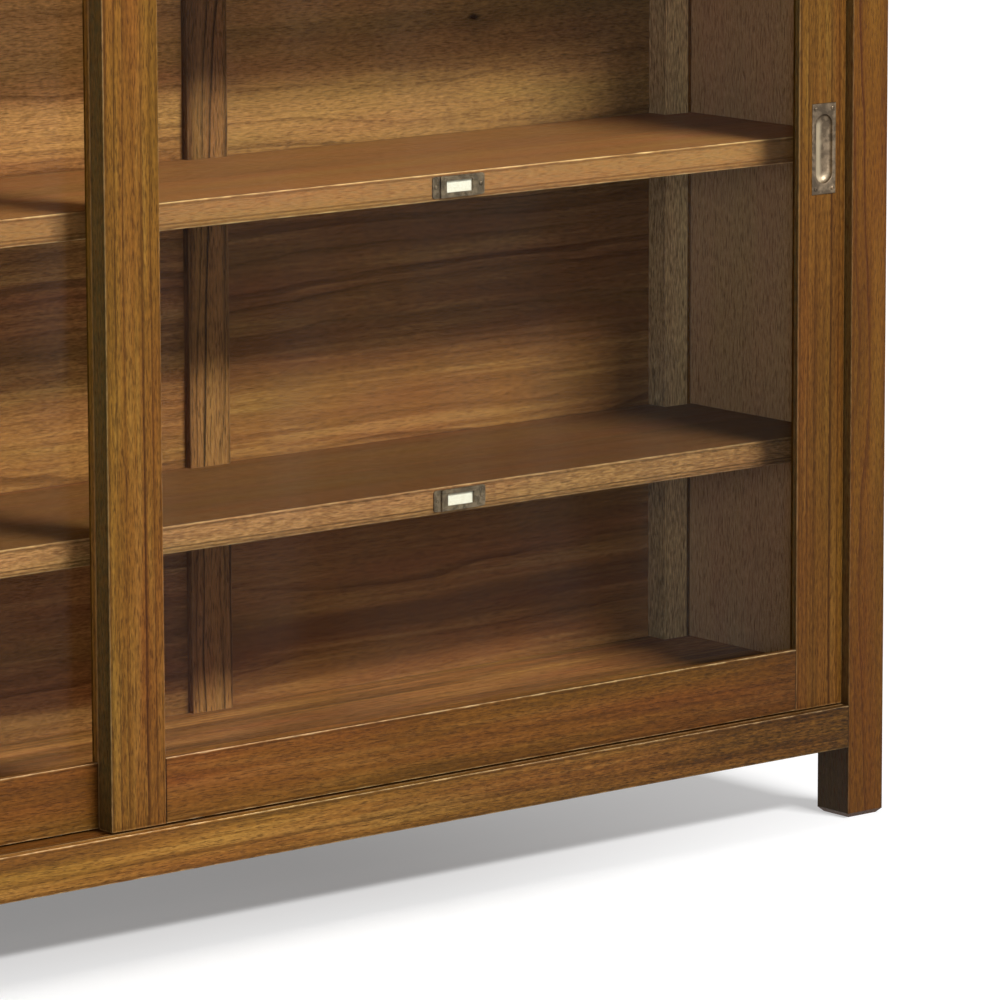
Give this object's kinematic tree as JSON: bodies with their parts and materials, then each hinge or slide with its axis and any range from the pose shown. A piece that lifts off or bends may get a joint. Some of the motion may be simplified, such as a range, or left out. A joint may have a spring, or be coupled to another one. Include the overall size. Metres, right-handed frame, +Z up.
{
  "type": "bookcase with sliding doors",
  "caption": "Low free-standing wooden bookcase with framed glass sliding doors on rollers, full-width shelves with metal label holders, and recessed flush pulls.",
  "frame": {"origin": "on the floor under the middle of the outer box", "axes": "+X to the right seen from the front, +Y to the back, +Z up; the doors face -Y"},
  "size_m": [1.988, 0.363, 1.4],
  "materials": {
    "frame_wood": "stained and waxed hardwood, satin, eased edges",
    "door_wood": "stained and waxed hardwood, satin, upright grain on the stiles",
    "shelf_wood": "stained hardwood board, smooth satin top",
    "panel_wood": "stained hardwood panel, lightly waxed, knots and wavy grain",
    "hidden_wood": "planed hardwood, unstained",
    "glass": "clear flat glass",
    "pewter": "pressed brass with an aged pewter-coloured finish",
    "card": "plain cream card",
    "steel": "zinc-plated steel",
    "nylon": "moulded nylon, satin"
  },
  "bodies": {
    "case": {"post_front_left": "frame_wood", "post_back_left": "frame_wood", "side_bottom_rail_left": "frame_wood", "side_top_rail_left": "frame_wood", "side_panel_left": "panel_wood", "back_stile_left": "frame_wood", "post_front_right": "frame_wood", "post_back_right": "frame_wood", "side_bottom_rail_right": "frame_wood", "side_top_rail_right": "frame_wood", "side_panel_right": "panel_wood", "back_stile_right": "frame_wood", "back_panel_left": "panel_wood", "back_panel_middle": "panel_wood", "back_panel_right": "panel_wood", "front_apron": "frame_wood", "front_top_rail": "frame_wood", "back_bottom_rail": "frame_wood", "back_top_rail": "frame_wood", "bottom_track": "frame_wood", "top_track": "frame_wood", "floor_bearer": "hidden_wood", "floor_board": "shelf_wood", "top_board": "shelf_wood", "shelf_1": "shelf_wood", "label_holder_1_left": "pewter", "label_card_1_left": "card", "label_holder_1_right": "pewter", "label_card_1_right": "card", "shelf_2": "shelf_wood", "label_holder_2_left": "pewter", "label_card_2_left": "card", "label_holder_2_right": "pewter", "label_card_2_right": "card", "shelf_3": "shelf_wood", "label_holder_3_left": "pewter", "label_card_3_left": "card", "label_holder_3_right": "pewter", "label_card_3_right": "card"},
    "right_door": {"right_door_outer_stile": "door_wood", "right_door_inner_stile": "door_wood", "right_door_top_rail": "door_wood", "right_door_bottom_rail": "door_wood", "right_door_glass": "glass", "right_door_pull": "pewter", "right_door_roller_housing_outer": "steel", "right_door_roller_housing_inner": "steel"},
    "left_door": {"left_door_outer_stile": "door_wood", "left_door_inner_stile": "door_wood", "left_door_top_rail": "door_wood", "left_door_bottom_rail": "door_wood", "left_door_glass": "glass", "left_door_pull": "pewter", "left_door_roller_housing_outer": "steel", "left_door_roller_housing_inner": "steel"},
    "right_roller_outer": {"right_door_roller_outer": "nylon"},
    "right_roller_inner": {"right_door_roller_inner": "nylon"},
    "left_roller_outer": {"left_door_roller_outer": "nylon"},
    "left_roller_inner": {"left_door_roller_inner": "nylon"}
  },
  "joints": [
    {"name": "right_door_slide", "type": "slide", "parent": "case", "child": "right_door", "axis": [1, 0, 0], "range_m": [-0.897, 0]},
    {"name": "left_door_slide", "type": "slide", "parent": "case", "child": "left_door", "axis": [1, 0, 0], "range_m": [0, 0.897]},
    {"name": "right_roller_outer_spin", "type": "hinge", "parent": "right_door", "child": "right_roller_outer", "pos_m": [0.819, -0.148, 0.1293], "axis": [0, 1, 0], "range_deg": [-5140, 0]},
    {"name": "right_roller_inner_spin", "type": "hinge", "parent": "right_door", "child": "right_roller_inner", "pos_m": [0.078, -0.148, 0.1293], "axis": [0, 1, 0], "range_deg": [-5140, 0]},
    {"name": "left_roller_outer_spin", "type": "hinge", "parent": "left_door", "child": "left_roller_outer", "pos_m": [-0.819, -0.123, 0.1293], "axis": [0, 1, 0], "range_deg": [0, 5140]},
    {"name": "left_roller_inner_spin", "type": "hinge", "parent": "left_door", "child": "left_roller_inner", "pos_m": [-0.078, -0.123, 0.1293], "axis": [0, 1, 0], "range_deg": [0, 5140]}
  ],
  "couplings": [
    {"joint": "right_roller_outer_spin", "follows": "right_door_slide", "rad_per_m": 100},
    {"joint": "right_roller_inner_spin", "follows": "right_door_slide", "rad_per_m": 100},
    {"joint": "left_roller_outer_spin", "follows": "left_door_slide", "rad_per_m": 100},
    {"joint": "left_roller_inner_spin", "follows": "left_door_slide", "rad_per_m": 100}
  ]
}
